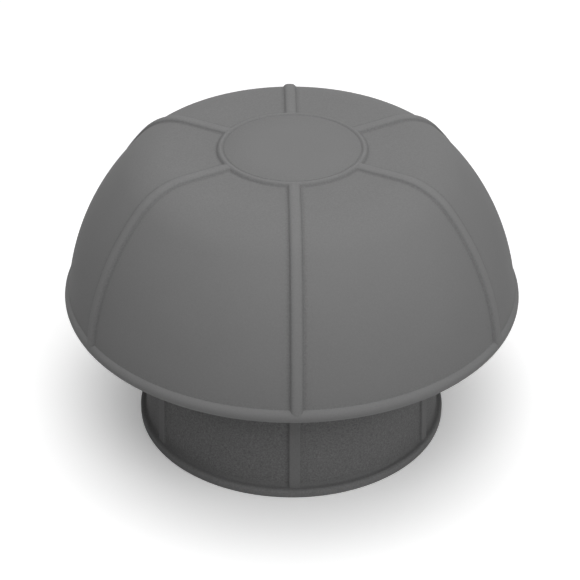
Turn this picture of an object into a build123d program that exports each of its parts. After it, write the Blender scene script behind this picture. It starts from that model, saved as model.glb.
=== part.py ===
from build123d import *
from math import radians, sin, sqrt, tan
import os

# Vent cap for the open top of a waste pipe: a ribbed hood that six webs hold over a sleeve.
# It is one moulding. Millimetres, +Z up, with the origin at the centre of the sleeve's lower end.
# Air comes up the sleeve, turns over its top edge under the hood and leaves round the rim.

# The pipe, and the sleeve that slides over it
pipe_radius = 55.0
pipe_clearance = 0.3
sleeve_wall = 2.9
sleeve_height = 78.0
lead_in = 1.2

# The ring round the sleeve's lower end
foot_ring_width = 2.7
foot_ring_height = 3.7
foot_ring_bevel = 1.2

# The hood: a flat crown, a round shoulder, and a side that is part of a ball centred on the axis.
# Its inner face follows the ball in a few straight bands, with a bevel for the shoulder
hood_height = 116.9
hood_wall = 3.0
shoulder_radius = 26.0
shoulder_sweep = 47.6
inner_band_count = 4
ceiling_bevel = 4.5

# The bead round the rim stands out from the hood's side
rim_radius = 88.0
rim_height = 57.5
bead_stand_out = 1.4
bead_height = 6.0
bead_bevel = 1.75

# The ribs on the hood and on the sleeve, and the webs behind them
rib_count = 6
first_rib_angle = -90.0
hood_rib_width = 4.3
hood_rib_height = 1.1
hood_rib_bevel = 0.6
sleeve_rib_width = 4.3
sleeve_rib_height = 1.1
sleeve_rib_bevel = 0.4
web_thickness = 3.0
web_foot_rise = 4.0
web_slope = 30.0
pipe_stop_width = 4.5

# The disc at the middle of the crown, sunk a little in a raised border like half a rib
disc_radius = 25.8
disc_recess = 0.2
disc_border_width = 2.2
disc_border_height = 1.2
disc_border_bevel = 0.7

# Sizes that follow from those above
bore_radius = pipe_radius + pipe_clearance
sleeve_radius = bore_radius + sleeve_wall
sleeve_middle_radius = sleeve_radius - sleeve_wall / 2
foot_ring_radius = sleeve_radius + foot_ring_width
pipe_stop_radius = bore_radius - pipe_stop_width
rim_bottom = rim_height - bead_height / 2
hood_side_radius = rim_radius - bead_stand_out
ceiling_height = hood_height - hood_wall
disc_border_radius = disc_radius + disc_border_width
web_foot_height = rim_height + web_foot_rise
root_depth = hood_wall / 2

# The side's ball is centred on the axis, touches the shoulder where its sweep ends, and meets the
# rim at the hood's side. The crown's flat part is as wide as that takes
shoulder_height = hood_height - shoulder_radius
shoulder_rise = shoulder_height - rim_height
sweep_sine = sin(radians(shoulder_sweep))
sweep_tangent = tan(radians(shoulder_sweep))
sweep_reach = shoulder_radius / sweep_sine + shoulder_rise / sweep_tangent
shoulder_to_rim = sqrt(hood_side_radius**2 + shoulder_rise**2)
crown_radius = sqrt(sweep_reach**2 + shoulder_to_rim**2 - shoulder_radius**2) - sweep_reach
side_ball_radius = shoulder_radius + crown_radius / sweep_sine
side_ball_height = shoulder_height - crown_radius / sweep_tangent
inner_ball_radius = side_ball_radius - hood_wall


def ball_point(ball_radius, height):
    """Point of the half outline of one of the side's balls at a height."""
    return sqrt(ball_radius**2 - (height - side_ball_height) ** 2), height


def hood_curve(depth, start_radius, end_height):
    """Half outline of the hood at a depth under its outer face: crown, shoulder, side."""
    ball_radius = side_ball_radius - depth
    crown = Line((start_radius, hood_height - depth), (crown_radius, hood_height - depth))
    shoulder = JernArc(crown @ 1, crown % 1, shoulder_radius - depth, -shoulder_sweep)
    side = RadiusArc(shoulder @ 1, ball_point(ball_radius, end_height), ball_radius)
    return crown @ 0, side @ 1


# One rib of the hood: a low bar with bevelled edges, from the disc's border into the rim's bead
with BuildPart() as hood_rib:
    with BuildLine(Plane.XZ):
        rib_start, rib_end = hood_curve(0.0, disc_radius, rim_height)
    with BuildSketch(Plane(origin=rib_start, x_dir=(0, 1, 0), z_dir=(1, 0, 0))):
        with Locations((0, -root_depth)):
            bar_height = root_depth + hood_rib_height
            Rectangle(hood_rib_width, bar_height, align=(Align.CENTER, Align.MIN))
        chamfer(vertices().group_by(Axis.Y)[-1], hood_rib_bevel)
    sweep()

# One web: it joins the sleeve to the hood, and reaches inward over the pipe's end as its stop
with BuildPart() as web:
    with BuildSketch(Plane.XZ):
        with BuildLine():
            web_top, web_rim_end = hood_curve(root_depth, 0.0, rim_height)
            Polyline(web_rim_end, (0, rim_height), web_top)
        make_face()
        corner = (Align.MIN, Align.MIN)
        Rectangle(pipe_stop_radius, hood_height, align=corner, mode=Mode.SUBTRACT)
        Rectangle(sleeve_middle_radius, sleeve_height, align=corner, mode=Mode.SUBTRACT)
        with Locations((sleeve_radius, web_foot_height)):
            Rectangle(
                2 * rim_radius,
                rim_radius,
                rotation=web_slope,
                align=(Align.CENTER, Align.MAX),
                mode=Mode.SUBTRACT,
            )
    extrude(amount=web_thickness / 2, both=True)

with BuildPart() as vent_cap:
    # Hood, with the bead round its rim
    with BuildSketch(Plane.XZ):
        with BuildLine():
            hood_top, hood_end = hood_curve(0.0, 0.0, rim_bottom)
            Polyline(hood_end, (0, rim_bottom), hood_top)
        make_face()
        with Locations((rim_radius, rim_height)):
            Rectangle(hood_wall, bead_height, align=(Align.MAX, Align.CENTER))
        chamfer(vertices().group_by(Axis.X)[-1], bead_bevel)
    revolve(axis=Axis.Z)

    # The hollow inside the hood
    with BuildSketch(Plane.XZ):
        with BuildLine():
            inner_curve = RadiusArc(
                ball_point(inner_ball_radius, ceiling_height),
                ball_point(inner_ball_radius, rim_bottom),
                inner_ball_radius,
                mode=Mode.PRIVATE,
            )
            band_ends = [inner_curve @ (band / inner_band_count) for band in range(inner_band_count + 1)]
            Polyline((0, ceiling_height), *band_ends, (0, rim_bottom), close=True)
        make_face()
        chamfer(vertices().group_by(Axis.Y)[-1].sort_by(Axis.X)[-1], ceiling_bevel)
    revolve(axis=Axis.Z, mode=Mode.SUBTRACT)

    # Sleeve with its foot ring, and a lead-in for the pipe at its mouth
    with BuildSketch(Plane.XZ):
        with BuildLine():
            Polyline(
                (bore_radius, lead_in),
                (bore_radius + lead_in, 0),
                (foot_ring_radius, 0),
                (foot_ring_radius, foot_ring_height),
                (sleeve_radius, foot_ring_height),
                (sleeve_radius, sleeve_height),
                (bore_radius, sleeve_height),
                close=True,
            )
        make_face()
        chamfer(vertices().group_by(Axis.X)[-1].sort_by(Axis.Y)[-1], foot_ring_bevel)
    revolve(axis=Axis.Z)

    # Disc on the crown, and its border
    with BuildSketch(Plane.XZ):
        with Locations((0, hood_height - root_depth)):
            disc_thickness = root_depth + disc_border_height
            Rectangle(disc_border_radius, disc_thickness, align=(Align.MIN, Align.MIN))
        chamfer(vertices().group_by(Axis.Y)[-1].sort_by(Axis.X)[-1], disc_border_bevel)
        with Locations((0, hood_height + disc_border_height)):
            Rectangle(disc_radius, disc_recess, align=(Align.MIN, Align.MAX), mode=Mode.SUBTRACT)
    revolve(axis=Axis.Z)

    # Webs and hood ribs
    with PolarLocations(0, rib_count, start_angle=first_rib_angle):
        add(web.part)
        add(hood_rib.part)

    # Sleeve ribs, from the foot ring up to the webs
    with BuildSketch(Plane.XY.offset(foot_ring_height / 2)):
        with PolarLocations(sleeve_radius, rib_count, start_angle=first_rib_angle):
            Rectangle(2 * sleeve_rib_height, sleeve_rib_width)
        chamfer(vertices(), sleeve_rib_bevel)
    extrude(amount=web_foot_height + web_thickness - foot_ring_height / 2)

vent_cap.part.label = "vent_cap"

os.makedirs("parts", exist_ok=True)
export_step(vent_cap.part, "parts/vent_cap.step")
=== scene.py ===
from math import asin, atan2, cos, exp, hypot, pi, radians, sin, sqrt, tan

import bmesh
import bpy
from mathutils import Matrix, Vector


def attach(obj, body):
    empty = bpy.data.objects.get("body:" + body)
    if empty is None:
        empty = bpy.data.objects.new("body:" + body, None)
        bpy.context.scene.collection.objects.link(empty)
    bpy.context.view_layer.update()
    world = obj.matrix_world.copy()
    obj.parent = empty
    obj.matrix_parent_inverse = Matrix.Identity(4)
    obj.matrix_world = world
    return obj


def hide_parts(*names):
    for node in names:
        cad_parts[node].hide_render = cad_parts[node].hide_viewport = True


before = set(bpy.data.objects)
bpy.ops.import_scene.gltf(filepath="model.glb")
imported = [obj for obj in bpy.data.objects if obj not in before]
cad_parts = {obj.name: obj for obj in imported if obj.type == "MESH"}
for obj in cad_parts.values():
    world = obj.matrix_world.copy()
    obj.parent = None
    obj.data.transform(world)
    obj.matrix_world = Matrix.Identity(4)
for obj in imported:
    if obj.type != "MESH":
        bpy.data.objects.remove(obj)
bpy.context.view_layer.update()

# Vent cap: one moulded piece, drawn finer than its CAD solid on a mesh that follows its ribs.
# Sizes are in millimetres until a point becomes a vertex, and +Z is up.
# A line is the section of the cap at one column of vertices, and a station is a point's place on it.
MM = 0.001

# The ribs, and the columns of vertices on each panel between two of them
RIBS = 6
FIRST_RIB = radians(-90.0)
PANEL_COLUMNS = 29

# The hood: a flat crown, a round shoulder, a side that is part of a ball, and a round bead
HOOD_TOP = 116.9
HOOD_WALL = 3.0
SHOULDER_RADIUS = 25.0
BALL_RADIUS = 86.9
SIDE_RADIUS = 86.6
RIM_HEIGHT = 57.5
BEAD_MIDDLE = 85.0
BEAD_RADIUS = 3.0
BEAD_FILLET = 0.35
RIM_INNER_FILLET = 0.8

# The hood's ribs start under the disc's border, and grow a little over the last angle of the side
HOOD_RIB_HEIGHT = 1.1
HOOD_RIB_HEIGHT_AT_RIM = 1.32
HOOD_RIB_GROWTH_RADIANS = 0.6
RIB_STARTS = 26.3
RIB_IS_FULL = 27.1

# The disc on the crown, its border, and the fine line inside the border
DISC_TOP = 1.0
DISC_EDGE = 25.3
LINE_RADIUS = 25.75
LINE_DEPTH = 0.3
BORDER_MIDDLE = 26.95
BORDER_HALF_WIDTH = 1.1
BORDER_OUTER_WIDTH = 1.6
BORDER_HEIGHT = 1.2
BORDER_INNER_POWER = 2.4
BORDER_OUTER_POWER = 1.3
BORDER_BLEND = 0.08
BORDER_BLEND_FROM = 28.0
BORDER_BLEND_TO = 29.0

# The sleeve and the ring round its foot
BORE_RADIUS = 55.3
SLEEVE_RADIUS = 57.5
SLEEVE_FOOT_RADIUS = 58.65
SLEEVE_TAPER_TOP = 30.0
SLEEVE_TOP = 78.0
SLEEVE_RIB_HEIGHT = 1.1
SLEEVE_RIB_TOP = 64.5
LEAD_IN = 1.2
RING_RADIUS = 60.9
RING_HEIGHT = 3.7
RING_ROUND = 1.2
RING_BASE_ROUND = 0.35
RING_FILLET = 1.1
RING_FILLET_AT_RIB = 0.25

# The webs between the sleeve and the hood, which reach in over the sleeve's bore as a stop
WEB_FOOT = 61.5
WEB_SLOPE = tan(radians(30.0))
STOP_RADIUS = 50.8

# The ball meets the hood's side at the rim, and touches the shoulder where its sweep ends
BALL_HEIGHT = RIM_HEIGHT - sqrt(BALL_RADIUS**2 - SIDE_RADIUS**2)
SHOULDER_HEIGHT = HOOD_TOP - SHOULDER_RADIUS
SHOULDER_RISE = SHOULDER_HEIGHT - BALL_HEIGHT
CROWN_RADIUS = sqrt((BALL_RADIUS - SHOULDER_RADIUS) ** 2 - SHOULDER_RISE**2)
SHOULDER_SWEEP = atan2(CROWN_RADIUS, SHOULDER_RISE)
SHOULDER_END = pi / 2 - SHOULDER_SWEEP

# Half sections of a rib: each column's distance from the rib's middle, and its share of the height
HOOD_SECTION = [
    (0.0, 1.0),
    (0.6, 0.985),
    (1.1, 0.93),
    (1.45, 0.85),
    (1.7, 0.76),
    (1.88, 0.66),
    (2.02, 0.55),
    (2.13, 0.42),
    (2.24, 0.28),
    (2.38, 0.14),
    (2.58, 0.04),
    (2.85, 0.0),
    (3.3, 0.0),
    (4.0, 0.0),
]
SLEEVE_SECTION = [
    (0.0, 1.0),
    (0.5, 1.0),
    (1.0, 1.0),
    (1.5, 1.0),
    (1.75, 0.985),
    (1.95, 0.92),
    (2.08, 0.8),
    (2.15, 0.6),
    (2.15, 0.3),
    (2.2, 0.12),
    (2.32, 0.03),
    (2.6, 0.0),
    (3.0, 0.0),
    (3.8, 0.0),
]

# Inside there are no ribs. A web is as thick as the columns this many places each side of its middle
INNER_SECTION = [0.0, 0.5, 1.0, 1.5, 1.7, 1.9, 2.1, 2.3, 2.6, 3.0, 3.5, 4.0, 4.6, 5.4]
WEB_EDGE = 3
HALF = len(HOOD_SECTION) - 1
RIB_COLUMNS = 2 * HALF + 1
SECTOR = RIB_COLUMNS + PANEL_COLUMNS
COLUMNS = RIBS * SECTOR

# Radii of the stations on the crown, from the disc's edge over the border and the flat part
CROWN_STATIONS = [
    25.3, 25.45, 25.6, 25.75, 25.9, 26.05, 26.25, 26.5, 26.8, 27.1, 27.35, 27.55, 27.72, 27.85, 27.95,
    28.05, 28.2, 28.35, 28.6, 29.2, 30.5, 33.0, 36.5, 41.0,
]
CEILING_STATIONS = [40.0, 34.0]

# How many points each arc has, both ends counted
SHOULDER_POINTS = 15
SIDE_POINTS = 28
BEAD_FILLET_POINTS = 4
BEAD_POINTS = 14
RIM_CORNER_POINTS = 5
INSIDE_UNDER_WEB_POINTS = 9
INSIDE_SIDE_POINTS = 16
INSIDE_SHOULDER_POINTS = 8
INSIDE_STOP_POINTS = 4
RING_BASE_POINTS = 4
RING_TOP_POINTS = 6
RING_FILLET_POINTS = 5

# Stations where the hood's shoulder and side end, and where the sleeve's wall begins
SHOULDER_END_STATION = len(CROWN_STATIONS) + SHOULDER_POINTS
SIDE_END_STATION = SHOULDER_END_STATION + SIDE_POINTS - 1
WALL_STATION = RING_BASE_POINTS + RING_TOP_POINTS + RING_FILLET_POINTS

# Heights of the stations on the sleeve's wall. The last is where a web's foot meets a rib's crest
WEB_FOOT_AT_SLEEVE = WEB_FOOT + SLEEVE_RIB_HEIGHT * WEB_SLOPE
SLEEVE_WALL_HEIGHTS = [5.6, 7.0, 10.0, 15.0, 20.0, 25.0, 30.0, 38.0, 46.0, 54.0, WEB_FOOT_AT_SLEEVE]

# The middles of the disc and of the ceiling: every fourth column goes on to each ring further in
THIN_STEP = 4
DISC_RINGS = (15.0, 6.0)
CEILING_RINGS = (20.0, 8.0)

# Inside this radius the inner columns keep their directions
INNER_COLUMNS_FROM = STOP_RADIUS - 12.0

# Halvings of the range in the search for a web's foot
HALVINGS = 60


def across(half_section):
    """A rib's whole section from its half: the left side mirrored, the middle, the right side."""
    left = [(-u, h) for u, h in reversed(half_section[1:])]
    return left + half_section


HOOD_RIB = across(HOOD_SECTION)
SLEEVE_RIB = across(SLEEVE_SECTION)
INNER_RIB = across([(u, 0.0) for u in INNER_SECTION])


def azimuth(rib, column, radius):
    """Where a column stands round the axis, at a radius."""
    sector, place = divmod(column, SECTOR)
    start = FIRST_RIB + sector * 2 * pi / RIBS
    if place < RIB_COLUMNS:
        return start + asin(rib[place][0] / radius)
    reach = asin(rib[-1][0] / radius)
    share = (place - RIB_COLUMNS + 1) / (PANEL_COLUMNS + 1)
    return start + reach + share * (2 * pi / RIBS - 2 * reach)


def rib_share(rib, column):
    """How much of the rib's height a column has: 1 on its crest, 0 on a panel."""
    place = column % SECTOR
    return rib[place][1] if place < RIB_COLUMNS else 0.0


def spread(start, end, count):
    """Evenly spread values from start to end, both included."""
    return [start + (end - start) * i / (count - 1) for i in range(count)]


def arc(centre, radius, start, end, count):
    """Points on an arc. Angles are from +r towards +z."""
    return [
        (centre[0] + radius * cos(a), centre[1] + radius * sin(a))
        for a in spread(start, end, count)
    ]


def circles_meet(c1, r1, c2, r2):
    """The upper point where two circles meet."""
    dx = c2[0] - c1[0]
    dz = c2[1] - c1[1]
    gap = hypot(dx, dz)
    along = (r1**2 - r2**2 + gap**2) / (2 * gap)
    off = sqrt(r1**2 - along**2)
    return (c1[0] + (along * dx - off * dz) / gap, c1[1] + (along * dz + off * dx) / gap)


def smooth_max(a, b, soft):
    """The larger of two heights, rounded where they cross."""
    return (a + b + sqrt((a - b) ** 2 + soft**2)) / 2


def ease(low, high, value):
    """0 at low and before it, 1 at high and past it, smooth between."""
    t = min(1.0, max(0.0, (value - low) / (high - low)))
    return t * t * (3 - 2 * t)


def bump_at(value, middle, width):
    """1 at the middle, falling to 0 on both sides of it."""
    return exp(-(((value - middle) / width) ** 2))


def border_height(radius):
    """Height of the disc's border over the crown."""
    if radius < BORDER_MIDDLE:
        off = (BORDER_MIDDLE - radius) / BORDER_HALF_WIDTH
        share = (1 - off**BORDER_INNER_POWER) ** (1 / BORDER_INNER_POWER) if off < 1 else 0.0
    else:
        off = (radius - BORDER_MIDDLE) / BORDER_OUTER_WIDTH
        share = (1 - off**2) ** BORDER_OUTER_POWER if off < 1 else 0.0
    return BORDER_HEIGHT * share


def crown_height(radius, share):
    """Height over the crown at a radius, for a column with this share of the rib."""
    if radius <= DISC_EDGE:
        return DISC_TOP
    if radius <= LINE_RADIUS:
        return DISC_TOP - LINE_DEPTH * ease(DISC_EDGE, LINE_RADIUS, radius)
    border = border_height(radius)
    if radius < BORDER_MIDDLE:
        return max(border, DISC_TOP - LINE_DEPTH)
    rib = HOOD_RIB_HEIGHT * share * ease(RIB_STARTS, RIB_IS_FULL, radius)
    blend_lift = BORDER_BLEND / 2 * (1 - ease(BORDER_BLEND_FROM, BORDER_BLEND_TO, radius))
    return smooth_max(border, rib, BORDER_BLEND) - blend_lift


def hood_outside(share):
    """The hood's outer line for one column, from the disc's edge to the bottom of the bead."""
    rise = HOOD_RIB_HEIGHT * share
    end_rise = HOOD_RIB_HEIGHT_AT_RIM * share
    line = [(r, HOOD_TOP + crown_height(r, share)) for r in CROWN_STATIONS]
    centre = (CROWN_RADIUS, SHOULDER_HEIGHT)
    line += arc(centre, SHOULDER_RADIUS + rise, pi / 2, SHOULDER_END, SHOULDER_POINTS)
    ball = (0.0, BALL_HEIGHT)
    bead = (BEAD_MIDDLE, RIM_HEIGHT)
    fillet = circles_meet(ball, BALL_RADIUS + end_rise + BEAD_FILLET, bead, BEAD_RADIUS + BEAD_FILLET)
    side_end = atan2(fillet[1] - ball[1], fillet[0] - ball[0])
    for angle in spread(SHOULDER_END, side_end, SIDE_POINTS)[1:]:
        low = ease(HOOD_RIB_GROWTH_RADIANS, 0.0, angle - side_end)
        radius = BALL_RADIUS + rise + (end_rise - rise) * low
        line.append((radius * cos(angle), BALL_HEIGHT + radius * sin(angle)))
    to_bead = atan2(bead[1] - fillet[1], bead[0] - fillet[0])
    line += arc(fillet, BEAD_FILLET, side_end + pi, to_bead + 2 * pi, BEAD_FILLET_POINTS)[1:]
    line += arc(bead, BEAD_RADIUS, to_bead + pi, -pi / 2, BEAD_POINTS)[1:]
    return line


def web_foot_angle(radius):
    """The angle on the hood's inner ball where the web's sloping foot meets it."""
    low = 0.0
    high = SHOULDER_END
    for _ in range(HALVINGS):
        angle = (low + high) / 2
        r = radius * cos(angle)
        z = BALL_HEIGHT + radius * sin(angle)
        if z < WEB_FOOT + (r - SLEEVE_RADIUS) * WEB_SLOPE:
            low = angle
        else:
            high = angle
    return (low + high) / 2


def inner_line():
    """The hood's inner line from the bead up to its ceiling, and a web's lowest and highest stations."""
    ball = (0.0, BALL_HEIGHT)
    radius = BALL_RADIUS - HOOD_WALL
    corner = RIM_HEIGHT - BEAD_RADIUS + RIM_INNER_FILLET
    reach = sqrt((radius + RIM_INNER_FILLET) ** 2 - (corner - BALL_HEIGHT) ** 2)
    start = atan2(corner - BALL_HEIGHT, reach)
    line = arc((reach, corner), RIM_INNER_FILLET, -pi / 2, -pi + start, RIM_CORNER_POINTS)
    foot = web_foot_angle(radius)
    line += arc(ball, radius, start, foot, INSIDE_UNDER_WEB_POINTS)[1:]
    web_low = len(line) - 1
    line += arc(ball, radius, foot, SHOULDER_END, INSIDE_SIDE_POINTS)[1:]
    centre = (CROWN_RADIUS, SHOULDER_HEIGHT)
    bend = SHOULDER_RADIUS - HOOD_WALL
    stop = pi / 2 - asin((STOP_RADIUS - CROWN_RADIUS) / bend)
    line += arc(centre, bend, SHOULDER_END, stop, INSIDE_SHOULDER_POINTS)[1:]
    web_high = len(line) - 1
    line += arc(centre, bend, stop, pi / 2, INSIDE_STOP_POINTS)[1:]
    line += [(r, HOOD_TOP - HOOD_WALL) for r in CEILING_STATIONS]
    return line, web_low, web_high


def sleeve_outside(height):
    """The sleeve's outer radius: it tapers a little above its foot."""
    share = min(1.0, max(0.0, height / SLEEVE_TAPER_TOP))
    return SLEEVE_FOOT_RADIUS + (SLEEVE_RADIUS - SLEEVE_FOOT_RADIUS) * share


def sleeve_line(share):
    """The sleeve's whole line for one column: foot face, ring, wall, top, bore, lead-in.
    With it come the stations of a web's foot and of the top's outer edge."""
    rise = SLEEVE_RIB_HEIGHT * share
    base = (RING_RADIUS - RING_BASE_ROUND, RING_BASE_ROUND)
    line = [(BORE_RADIUS + LEAD_IN, 0.0)]
    line += arc(base, RING_BASE_ROUND, -pi / 2, 0.0, RING_BASE_POINTS)
    top = (RING_RADIUS - RING_ROUND, RING_HEIGHT - RING_ROUND)
    fillet = RING_FILLET + (RING_FILLET_AT_RIB - RING_FILLET) * share
    foot_radius = sleeve_outside(RING_HEIGHT + fillet) + rise + fillet
    off = foot_radius - top[0]
    foot = (foot_radius, top[1] + sqrt((RING_ROUND + fillet) ** 2 - off**2))
    meeting = atan2(foot[1] - top[1], off)
    line += arc(top, RING_ROUND, 0.0, meeting, RING_TOP_POINTS)
    line += arc(foot, fillet, meeting - pi, -pi, RING_FILLET_POINTS)[1:]
    line += [(sleeve_outside(z) + rise, z) for z in SLEEVE_WALL_HEIGHTS]
    web_foot = len(line) - 1
    line += [
        (SLEEVE_RADIUS + rise, SLEEVE_RIB_TOP),
        (SLEEVE_RADIUS, SLEEVE_RIB_TOP),
        (SLEEVE_RADIUS, (SLEEVE_RIB_TOP + SLEEVE_TOP) / 2),
        (SLEEVE_RADIUS, SLEEVE_TOP),
    ]
    sleeve_top = len(line) - 1
    line += [
        (BORE_RADIUS, SLEEVE_TOP),
        (BORE_RADIUS, SLEEVE_TOP * 2 / 3),
        (BORE_RADIUS, SLEEVE_TOP / 3),
        (BORE_RADIUS, LEAD_IN),
    ]
    return line, web_foot, sleeve_top


# Grain, from 0 on smooth plastic to 1 on the sleeve's panels. Widths are across a rib or the border.
# Coarser grain is also darker: partly the texture's own, partly painted shade in corners and under the
# hood
EDGE_GRAIN = 0.45
CROWN_GRAIN = 0.2
RING_GRAIN = 0.45
SLEEVE_RIB_GRAIN = 0.2
CORNER_GRAIN_WIDTH = 1.2
BORDER_GRAIN_WIDTH = 1.2
BEAD_GRAIN_STATIONS = 1.5

# Painted light, as shares of the plastic's grey: a painted highlight on crests, and painted shade in the
# corners beside the ribs, at the border's foot and in the fine line
PAINTED_HIGHLIGHT_ON_CRESTS = 0.06
CREST_HIGHLIGHT_POWER = 6
PAINTED_SHADE_IN_CORNERS = -0.12
CORNER_MIDDLE = 2.7
CORNER_SHADE_WIDTH = 0.6
BORDER_CORNER = 28.4
BORDER_SHADE_WIDTH = 0.5
BORDER_HIGHLIGHT_WIDTH = 0.6
LINE_SHADE_WIDTH = 0.25

# Where grain, painted highlight and painted shade follow the hood's ribs: between the border and the
# bead, fading at both
RIBBED_FROM = 27.6
RIBBED_FULLY_FROM = 28.6
RIBBED_FULLY_TO = SIDE_END_STATION - 2
RIBBED_TO = SIDE_END_STATION + 3

# Painted light and shade on the sleeve's stations: painted light on the ring's outside, painted shade on
# its top and in the corner above it, and painted shade on the wall that deepens upward under the hood
SLEEVE_PAINTED_SHADING = [
    1.18, 1.18, 1.18, 1.18, 1.18, 1.18, 1.12, 1.02, 0.93, 0.88, 0.86, 0.86, 0.88, 0.91, 0.94,
    0.97, 0.99, 1.0, 1.0, 0.98, 0.95,
]
# Painted shade on the sleeve's upper wall, its top and its bore, under the hood
SLEEVE_TOP_PAINTED_SHADE = 0.87


def hood_surface(station, rib, column):
    """Grain and painted light: a painted highlight on the crests, and coarser grain and painted shade in
    the corners beside them.
    """
    place = column % SECTOR
    far = 2 * rib[-1][0]
    from_middle, share = rib[place] if place < RIB_COLUMNS else (far, 0.0)
    radius = CROWN_STATIONS[min(station, len(CROWN_STATIONS) - 1)]
    ribbed = ease(RIBBED_FROM, RIBBED_FULLY_FROM, radius) * ease(RIBBED_TO, RIBBED_FULLY_TO, station)
    # Painted shade in the corners beside the ribs, and a painted highlight on their crests
    corner = bump_at(abs(from_middle), CORNER_MIDDLE, CORNER_SHADE_WIDTH) * ribbed
    crest_highlight = share**CREST_HIGHLIGHT_POWER * ribbed
    grain = bump_at(abs(from_middle), CORNER_MIDDLE, CORNER_GRAIN_WIDTH) * ribbed
    if station < len(CROWN_STATIONS):
        around = 1.0 - share
        # On the crown: painted shade at the border's foot and in the fine line, and a painted highlight
        # on the border's crest
        corner = max(corner, bump_at(radius, BORDER_CORNER, BORDER_SHADE_WIDTH) * around)
        corner = max(corner, bump_at(radius, LINE_RADIUS, LINE_SHADE_WIDTH))
        grain = max(grain, bump_at(radius, BORDER_CORNER, BORDER_GRAIN_WIDTH) * around)
        crest_highlight = max(crest_highlight, bump_at(radius, BORDER_MIDDLE, BORDER_HIGHLIGHT_WIDTH))
    else:
        grain = max(grain, bump_at(station, SIDE_END_STATION, BEAD_GRAIN_STATIONS))
    grain = EDGE_GRAIN * grain
    if station < SHOULDER_END_STATION:
        grain = max(grain, CROWN_GRAIN * ease(SHOULDER_END_STATION, len(CROWN_STATIONS), station))
    return grain, 1.0 + PAINTED_HIGHLIGHT_ON_CRESTS * crest_highlight + PAINTED_SHADE_IN_CORNERS * corner


def sleeve_surface(station, rib, column):
    """Grain and painted light: the panels are the coarsest, and the ring and the ribs are finer. Painted
    light lies on the ring's outside, and painted shade on its top and up the wall under the hood.
    """
    tone = SLEEVE_PAINTED_SHADING[station] if station < len(SLEEVE_PAINTED_SHADING) else SLEEVE_TOP_PAINTED_SHADE
    if station < WALL_STATION:
        return RING_GRAIN, tone
    return 1.0 + (SLEEVE_RIB_GRAIN - 1.0) * rib_share(rib, column), tone


def plain_surface(station, rib, column):
    """Grain and painted light of the hood's inside: smooth, its own grey, and no painted light or shade.
    """
    return 0.0, 1.0


class Moulding:
    """Vertices, with the grain and the painted light and shade of the surface at each, and the faces
    between them.
    """

    def __init__(self):
        self.points = []
        self.grain = []
        self.tone = []
        self.faces = []

    def point(self, radius, angle, height, grain=0.0, tone=1.0):
        """Add a vertex and return its number."""
        self.points.append((radius * cos(angle) * MM, radius * sin(angle) * MM, height * MM))
        self.grain.append(grain)
        self.tone.append(tone)
        return len(self.points) - 1

    def rows(self, lines, rib, smallest, surface):
        """One row of vertices for each station of the lines, one line for each column."""
        rows = []
        for station in range(len(lines[0])):
            row = []
            for column in range(COLUMNS):
                radius, height = lines[column][station]
                angle = azimuth(rib, column, max(radius, smallest))
                row.append(self.point(radius, angle, height, *surface(station, rib, column)))
            rows.append(row)
        return rows

    def band(self, first, second, skip=()):
        """Quads between two closed rows of the same length."""
        count = len(first)
        for i in range(count):
            if i not in skip:
                j = (i + 1) % count
                self.faces.append((first[i], first[j], second[j], second[i]))

    def thin_out(self, row, radius, height):
        """A flat ring of triangles to a row with fewer points."""
        inner = []
        for i in range(0, len(row), THIN_STEP):
            x, y, _ = self.points[row[i]]
            inner.append(self.point(radius, atan2(y, x), height))
        half = THIN_STEP // 2
        for i in range(len(inner)):
            after = inner[(i + 1) % len(inner)]
            for k in range(THIN_STEP):
                tip = inner[i] if k < half else after
                a = row[i * THIN_STEP + k]
                b = row[(i * THIN_STEP + k + 1) % len(row)]
                self.faces.append((a, b, tip))
            self.faces.append((inner[i], row[i * THIN_STEP + half], after))
        return inner

    def close_middle(self, row, radii, height):
        """Flat rings with fewer and fewer points, and one face in the middle."""
        for radius in radii:
            row = self.thin_out(row, radius, height)
        self.faces.append(tuple(row))


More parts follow.
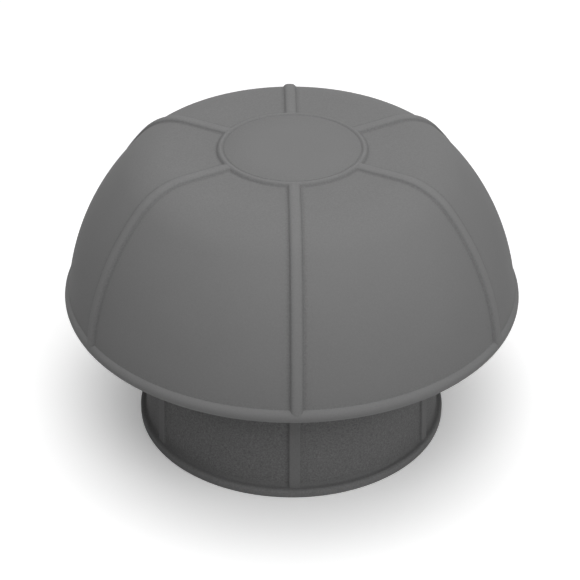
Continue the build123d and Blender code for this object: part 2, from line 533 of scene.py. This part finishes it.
def build_cap():
    """The whole cap as one closed mesh."""
    cap = Moulding()

    # The outside of the hood, with the disc in the middle
    outside = [hood_outside(rib_share(HOOD_RIB, c)) for c in range(COLUMNS)]
    outer_rows = cap.rows(outside, HOOD_RIB, DISC_EDGE, hood_surface)
    for first, second in zip(outer_rows, outer_rows[1:]):
        cap.band(first, second)
    cap.close_middle(outer_rows[0], DISC_RINGS, HOOD_TOP + DISC_TOP)

    # The inside of the hood, with a strip left open for each web
    inside, web_low, web_high = inner_line()
    inner_rows = cap.rows([inside] * COLUMNS, INNER_RIB, INNER_COLUMNS_FROM, plain_surface)
    web_places = range(HALF - WEB_EDGE, HALF + WEB_EDGE)
    strip = {s * SECTOR + p for s in range(RIBS) for p in web_places}
    cap.band(outer_rows[-1], inner_rows[0])
    for i in range(len(inner_rows) - 1):
        cap.band(inner_rows[i], inner_rows[i + 1], strip if web_low <= i < web_high else ())
    cap.close_middle(inner_rows[-1], CEILING_RINGS, HOOD_TOP - HOOD_WALL)

    # The sleeve, with the same strips left open
    sections = [sleeve_line(rib_share(SLEEVE_RIB, c)) for c in range(COLUMNS)]
    web_foot, sleeve_top = sections[0][1:]
    sleeve_lines = [s[0] for s in sections]
    sleeve_rows = cap.rows(sleeve_lines, SLEEVE_RIB, BORE_RADIUS, sleeve_surface)
    count = len(sleeve_rows)
    for i in range(count):
        open_here = web_foot <= i <= sleeve_top
        cap.band(sleeve_rows[i], sleeve_rows[(i + 1) % count], strip if open_here else ())

    # The webs: two sides, the sloping foot, and the stop that stands in over the pipe's end
    for sector in range(RIBS):
        columns = [sector * SECTOR + HALF + k for k in range(-WEB_EDGE, WEB_EDGE + 1)]
        stop_row = []
        for column in columns:
            angle = azimuth(SLEEVE_RIB, column, STOP_RADIUS)
            stop_row.append(cap.point(STOP_RADIUS, angle, SLEEVE_TOP))
        bore_edge = [sleeve_rows[sleeve_top + 1][c] for c in columns]
        ceiling = [inner_rows[web_high][c] for c in columns]
        foot = [inner_rows[web_low][c] for c in columns]
        sleeve_foot = [sleeve_rows[web_foot][c] for c in columns]
        for first, second in ((ceiling, stop_row), (stop_row, bore_edge), (sleeve_foot, foot)):
            for a, b, c, d in zip(first, first[1:], second[1:], second):
                cap.faces.append((a, b, c, d))
        for end in (0, -1):
            column = columns[end]
            side = [inner_rows[i][column] for i in range(web_low, web_high + 1)]
            side.append(stop_row[end])
            side += [sleeve_rows[i][column] for i in range(sleeve_top + 1, web_foot - 1, -1)]
            cap.faces.append(tuple(side))
    return cap


# Edges sharper than this stay sharp under the smooth shading
SHARP_FROM = radians(38.0)


def add_object(name, data):
    """A new object in the scene."""
    made = bpy.data.objects.new(name, data)
    bpy.context.scene.collection.objects.link(made)
    return made


def make_moulding():
    """The cap as an object, with its grain and its painted light and shade as attributes of the mesh."""
    cap = build_cap()
    mesh = bpy.data.meshes.new("vent_cap_moulding")
    mesh.from_pydata(cap.points, [], cap.faces)
    mesh.validate()
    working = bmesh.new()
    working.from_mesh(mesh)
    bmesh.ops.recalc_face_normals(working, faces=working.faces)
    working.to_mesh(mesh)
    working.free()
    mesh.shade_smooth()
    mesh.set_sharp_from_angle(angle=SHARP_FROM)
    for name, values in (("grain", cap.grain), ("tone", cap.tone)):
        attribute = mesh.attributes.new(name, "FLOAT", "POINT")
        attribute.data.foreach_set("value", values)
    return add_object("vent_cap_moulding", mesh)


class Graph:
    """The nodes of a material or world. A value fed to a socket is another socket, or a number."""

    def __init__(self, owner):
        owner.use_nodes = True
        self.nodes = owner.node_tree.nodes
        self.links = owner.node_tree.links

    def feed(self, socket, value):
        """Link a socket to another, or set its number or its grey."""
        if isinstance(value, bpy.types.NodeSocket):
            self.links.new(value, socket)
        elif socket.type == "RGBA":
            socket.default_value = (value, value, value, 1.0)
        else:
            socket.default_value = value

    def add(self, kind, **inputs):
        """A new node, with its named inputs fed."""
        node = self.nodes.new("ShaderNode" + kind)
        for name, value in inputs.items():
            self.feed(node.inputs[name], value)
        return node

    def attribute(self, name):
        """The number that the mesh stores under this name."""
        node = self.add("Attribute")
        node.attribute_name = name
        return node.outputs["Fac"]

    def noise(self, size, detail):
        """A noise from 0 to 1 on the object's own coordinates, with features of about this size."""
        place = self.add("TexCoord").outputs["Object"]
        return self.add("TexNoise", Vector=place, Scale=1.0 / size, Detail=detail).outputs["Fac"]

    def calculate(self, operation, first, second):
        """A math node's result."""
        node = self.add("Math")
        node.operation = operation
        self.feed(node.inputs[0], first)
        self.feed(node.inputs[1], second)
        return node.outputs[0]

    def scaled(self, value, low, high):
        """A value from 0 to 1 moved to the range from low to high."""
        return self.calculate("ADD", self.calculate("MULTIPLY", value, high - low), low)

    def sum_of(self, first, second):
        """Two shaders added."""
        node = self.add("AddShader")
        self.feed(node.inputs[0], first)
        self.feed(node.inputs[1], second)
        return node.outputs[0]

    def mixed(self, share, first, second):
        """Two shaders mixed: the first where the share is 0, the second where it is 1."""
        node = self.add("MixShader", Fac=share)
        self.feed(node.inputs[1], first)
        self.feed(node.inputs[2], second)
        return node.outputs[0]

    def background_seen(self):
        """1 for rays that show the background: from the camera, in gloss and through glass."""
        path = self.add("LightPath")
        total = path.outputs["Is Camera Ray"]
        for other in ("Is Glossy Ray", "Is Transmission Ray"):
            total = self.calculate("MAXIMUM", total, path.outputs[other])
        return total


# Grey plastic: matt, with a fine grain and faint clouds. Sizes are in metres. Speckle, darkening and
# bump strength are given for smooth plastic, then for the coarsest, and the roughness follows the grain.
# The darkening is partly the coarse texture's own and partly painted shade in corners and under the
# hood.
# The grey also carries the mesh's painted highlights and painted shade
GREY = 0.2
SPECULAR_LEVEL = 0.1
GRAIN_SIZE = 0.00062
GRAIN_DETAIL = 2.0
CLOUD_SIZE = 0.021
CLOUD_DETAIL = 3.0
CLOUD_CONTRAST = 0.06
NOISE_MIDDLE = 0.5
SPECKLE = (0.14, 0.95)
# Darkening where the grain is coarse: partly the texture's own, partly painted shade
GRAIN_DARKENING_AND_PAINTED_SHADE = (1.0, 0.9)
ROUGHNESS = (0.66, 0.84)
BUMP_STRENGTH = (0.12, 0.6)
BUMP_DISTANCE = 0.00012


def grey_plastic():
    """The moulding's material."""
    material = bpy.data.materials.new("grey_plastic")
    graph = Graph(material)
    coarse = graph.attribute("grain")
    # Painted highlights and painted shade, stored on the mesh
    tone = graph.attribute("tone")
    grain = graph.noise(GRAIN_SIZE, GRAIN_DETAIL)
    clouds = graph.noise(CLOUD_SIZE, CLOUD_DETAIL)

    # Grain and clouds vary the grey round its middle
    grain_swing = graph.calculate("SUBTRACT", grain, NOISE_MIDDLE)
    cloud_swing = graph.calculate("SUBTRACT", clouds, NOISE_MIDDLE)
    speckle = graph.calculate("MULTIPLY", grain_swing, graph.scaled(coarse, *SPECKLE))
    cloud = graph.calculate("MULTIPLY", cloud_swing, CLOUD_CONTRAST)
    # The coarse grain's darkening is partly painted shade in corners and under the hood
    mottle_and_painted_shade = graph.calculate("ADD", graph.calculate("ADD", speckle, cloud), graph.scaled(coarse, *GRAIN_DARKENING_AND_PAINTED_SHADE))
    # Painted highlights and painted shade scale the grey
    grey_with_painted_light = graph.calculate("MULTIPLY", graph.calculate("MULTIPLY", mottle_and_painted_shade, tone), GREY)
    colour = graph.add("CombineColor", Red=grey_with_painted_light, Green=grey_with_painted_light, Blue=grey_with_painted_light)
    strength = graph.scaled(coarse, *BUMP_STRENGTH)
    bump = graph.add("Bump", Height=grain, Strength=strength, Distance=BUMP_DISTANCE)

    shader = graph.nodes["Principled BSDF"]
    graph.feed(shader.inputs["Specular IOR Level"], SPECULAR_LEVEL)
    graph.feed(shader.inputs["Base Color"], colour.outputs[0])
    graph.feed(shader.inputs["Roughness"], graph.scaled(grain, *ROUGHNESS))
    graph.feed(shader.inputs["Normal"], bump.outputs[0])
    return material


moulding = make_moulding()
moulding.data.materials.append(grey_plastic())
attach(moulding, "root")
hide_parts("vent_cap")

# Camera, as fitted to the rim, the disc, the ring and the ribs in the photograph. The fit took the
# rim's radius as 90 mm, so its lengths are scaled to the cap
FIT_SCALE = 88.0 / 90.0
CAMERA_ELEVATION = radians(33.65)
CAMERA_DISTANCE = 746.65
CAMERA_TURN = radians(-1.28)
CAMERA_YAW = radians(-0.058)
CAMERA_PITCH = radians(0.687)
CAMERA_ROLL = radians(-0.266)
LOOK_HEIGHT = 45.0
FOCAL_IN_PIXELS = 1853.97
FRAME_PIXELS = 580.0
SENSOR = 36.0


def make_camera():
    """The camera: raised and leaned towards the cap, then turned a little on its own three axes."""
    rise = sin(CAMERA_ELEVATION)
    lean = cos(CAMERA_ELEVATION)
    base = Matrix(((1, 0, 0), (0, rise, lean), (0, lean, -rise)))
    cy, sy = cos(CAMERA_YAW), sin(CAMERA_YAW)
    cp, sp = cos(CAMERA_PITCH), sin(CAMERA_PITCH)
    cr, sr = cos(CAMERA_ROLL), sin(CAMERA_ROLL)
    yaw = Matrix(((cy, 0, -sy), (0, 1, 0), (sy, 0, cy)))
    pitch = Matrix(((1, 0, 0), (0, cp, -sp), (0, sp, cp)))
    roll = Matrix(((cr, -sr, 0), (sr, cr, 0), (0, 0, 1)))
    view = roll @ pitch @ yaw @ base
    axes = Matrix((view[0], view[1], -view[2])).transposed()
    place = Vector((0, -CAMERA_DISTANCE * lean, LOOK_HEIGHT + CAMERA_DISTANCE * rise))
    turn = Matrix.Rotation(CAMERA_TURN, 3, "Z")
    data = bpy.data.cameras.new("camera")
    data.sensor_width = SENSOR
    data.lens = FOCAL_IN_PIXELS / FRAME_PIXELS * SENSOR
    camera = add_object("camera", data)
    camera.matrix_world = Matrix.Translation(turn @ place * FIT_SCALE * MM) @ (turn @ axes).to_4x4()
    bpy.context.scene.camera = camera


make_camera()

# Floor: pale to the object's light. Where it is seen it is paler, keeps the shadow, and fades to
# white away from the object. Distances are in metres
FLOOR_HALF_SIZE = 6.0
FLOOR_COLOUR = 0.62
FLOOR_SEEN_BOOST = 0.14
FLOOR_GLOW = 0.19
WHITE_FROM = 0.3
WHITE_BY = 0.6


def floor_paper():
    """The floor's material."""
    material = bpy.data.materials.new("floor")
    graph = Graph(material)
    graph.nodes.clear()
    lit = graph.add("BsdfDiffuse", Color=FLOOR_COLOUR).outputs[0]
    seen = graph.add("BsdfDiffuse", Color=1.0).outputs[0]
    boost = graph.add("BsdfDiffuse", Color=FLOOR_SEEN_BOOST).outputs[0]
    glow = graph.add("Emission", Strength=FLOOR_GLOW).outputs[0]
    white = graph.add("Emission").outputs[0]
    distance = graph.add("VectorMath")
    distance.operation = "LENGTH"
    graph.feed(distance.inputs[0], graph.add("NewGeometry").outputs["Position"])
    whiter = graph.add("MapRange", Value=distance.outputs["Value"])
    whiter.interpolation_type = "SMOOTHSTEP"
    graph.feed(whiter.inputs["From Min"], WHITE_FROM)
    graph.feed(whiter.inputs["From Max"], WHITE_BY)
    shown = graph.mixed(whiter.outputs[0], graph.sum_of(seen, graph.sum_of(boost, glow)), white)
    graph.add("OutputMaterial", Surface=graph.mixed(graph.background_seen(), lit, shown))
    return material


def make_floor():
    """A square floor at the height of the cap's foot."""
    mesh = bpy.data.meshes.new("floor")
    corners = [(-1, -1), (1, -1), (1, 1), (-1, 1)]
    points = [(x * FLOOR_HALF_SIZE, y * FLOOR_HALF_SIZE, 0) for x, y in corners]
    mesh.from_pydata(points, [], [(0, 1, 2, 3)])
    mesh.materials.append(floor_paper())
    return add_object("floor", mesh)


floor = make_floor()

# Light: a wide soft lamp overhead, smaller ones in front, on the right and behind, and a faint world.
# A lamp's lean is from overhead, towards its azimuth. Lengths are in metres
LIGHT_CENTRE = Vector((0.0, 0.0, 0.06))
LAMP_DISTANCE = 1.6
WORLD_LIGHT = 0.02


def lamp(name, size, power, lean, towards):
    """A round lamp that points at the cap."""
    data = bpy.data.lights.new(name, "AREA")
    data.shape = "DISK"
    data.size = size
    data.energy = power
    made = add_object(name, data)
    azimuth_angle = radians(towards)
    reach = LAMP_DISTANCE * sin(radians(lean))
    height = LAMP_DISTANCE * cos(radians(lean))
    offset = Vector((reach * cos(azimuth_angle), reach * sin(azimuth_angle), height))
    made.location = LIGHT_CENTRE + offset
    made.rotation_euler = offset.to_track_quat("Z", "Y").to_euler()


lamp("overhead_light", size=2.0, power=20.6, lean=0.0, towards=0.0)
lamp("front_light", size=1.4, power=9.0, lean=45.0, towards=-90.0)
lamp("right_light", size=1.4, power=4.8, lean=68.0, towards=-35.0)
lamp("back_light", size=1.4, power=3.4, lean=68.0, towards=85.0)


def make_world():
    """The world: faint light on the object, and white where it is seen."""
    world = bpy.data.worlds.new("world")
    bpy.context.scene.world = world
    graph = Graph(world)
    faint = graph.nodes["Background"]
    graph.feed(faint.inputs["Color"], 1.0)
    graph.feed(faint.inputs["Strength"], WORLD_LIGHT)
    white = graph.add("Background", Color=1.0)
    shown = graph.mixed(graph.background_seen(), faint.outputs[0], white.outputs[0])
    graph.feed(graph.nodes["World Output"].inputs["Surface"], shown)


make_world()

bpy.context.scene.view_settings.view_transform = "Standard"
